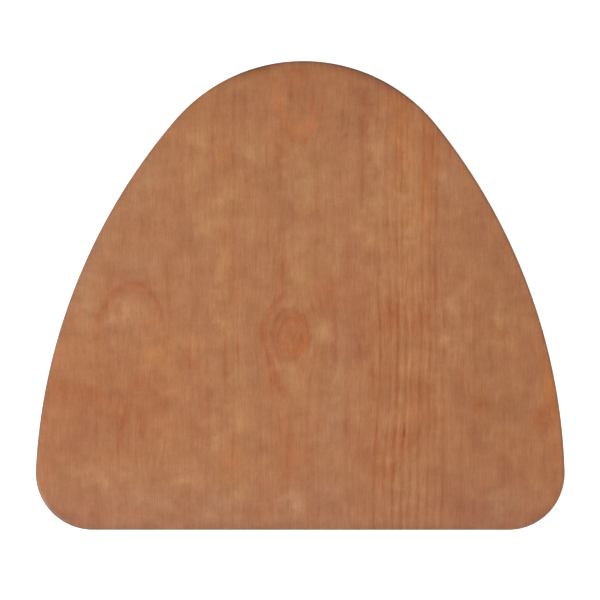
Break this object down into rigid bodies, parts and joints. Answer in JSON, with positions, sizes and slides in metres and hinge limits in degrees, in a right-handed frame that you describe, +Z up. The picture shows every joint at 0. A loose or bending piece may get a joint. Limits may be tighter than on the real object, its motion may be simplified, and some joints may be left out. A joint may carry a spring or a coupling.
{
  "type": "corner side table",
  "caption": "Corner side table: a rounded triangular wood-faced top with one straight edge, on splayed, turned, tapered legs bolted to angled steel plates.",
  "frame": {"origin": "on the floor, under the middle of the top's bounding box", "axes": "+Z up from the floor, -Y out of the straight front edge, +Y towards the rounded nose that points into the room's corner, +X to the right seen from the front"},
  "size_m": [0.5, 0.443, 0.55],
  "materials": {
    "top_wood": "reddish brown stained pine veneer, thin satin lacquer",
    "leg_wood": "solid wood stained to match the top, thin satin lacquer",
    "plate_steel": "pressed sheet, zinc plated",
    "fastener_steel": "zinc plated",
    "glide_nylon": "natural nylon, scuffed underneath"
  },
  "bodies": {
    "root": {"table_top": "top_wood", "leg_left": "leg_wood", "leg_right": "leg_wood", "leg_back": "leg_wood", "leg_plate_left": "plate_steel", "leg_plate_right": "plate_steel", "leg_plate_back": "plate_steel", "plate_nut_left": "plate_steel", "plate_nut_right": "plate_steel", "plate_nut_back": "plate_steel", "hanger_bolt_left": "fastener_steel", "hanger_bolt_right": "fastener_steel", "hanger_bolt_back": "fastener_steel", "plate_screw_left_1": "fastener_steel", "plate_screw_left_2": "fastener_steel", "plate_screw_left_3": "fastener_steel", "plate_screw_left_4": "fastener_steel", "plate_screw_right_1": "fastener_steel", "plate_screw_right_2": "fastener_steel", "plate_screw_right_3": "fastener_steel", "plate_screw_right_4": "fastener_steel", "plate_screw_back_1": "fastener_steel", "plate_screw_back_2": "fastener_steel", "plate_screw_back_3": "fastener_steel", "plate_screw_back_4": "fastener_steel", "foot_glide_left": "glide_nylon", "foot_glide_right": "glide_nylon", "foot_glide_back": "glide_nylon", "glide_nail_left": "fastener_steel", "glide_nail_right": "fastener_steel", "glide_nail_back": "fastener_steel"}
  },
  "joints": []
}
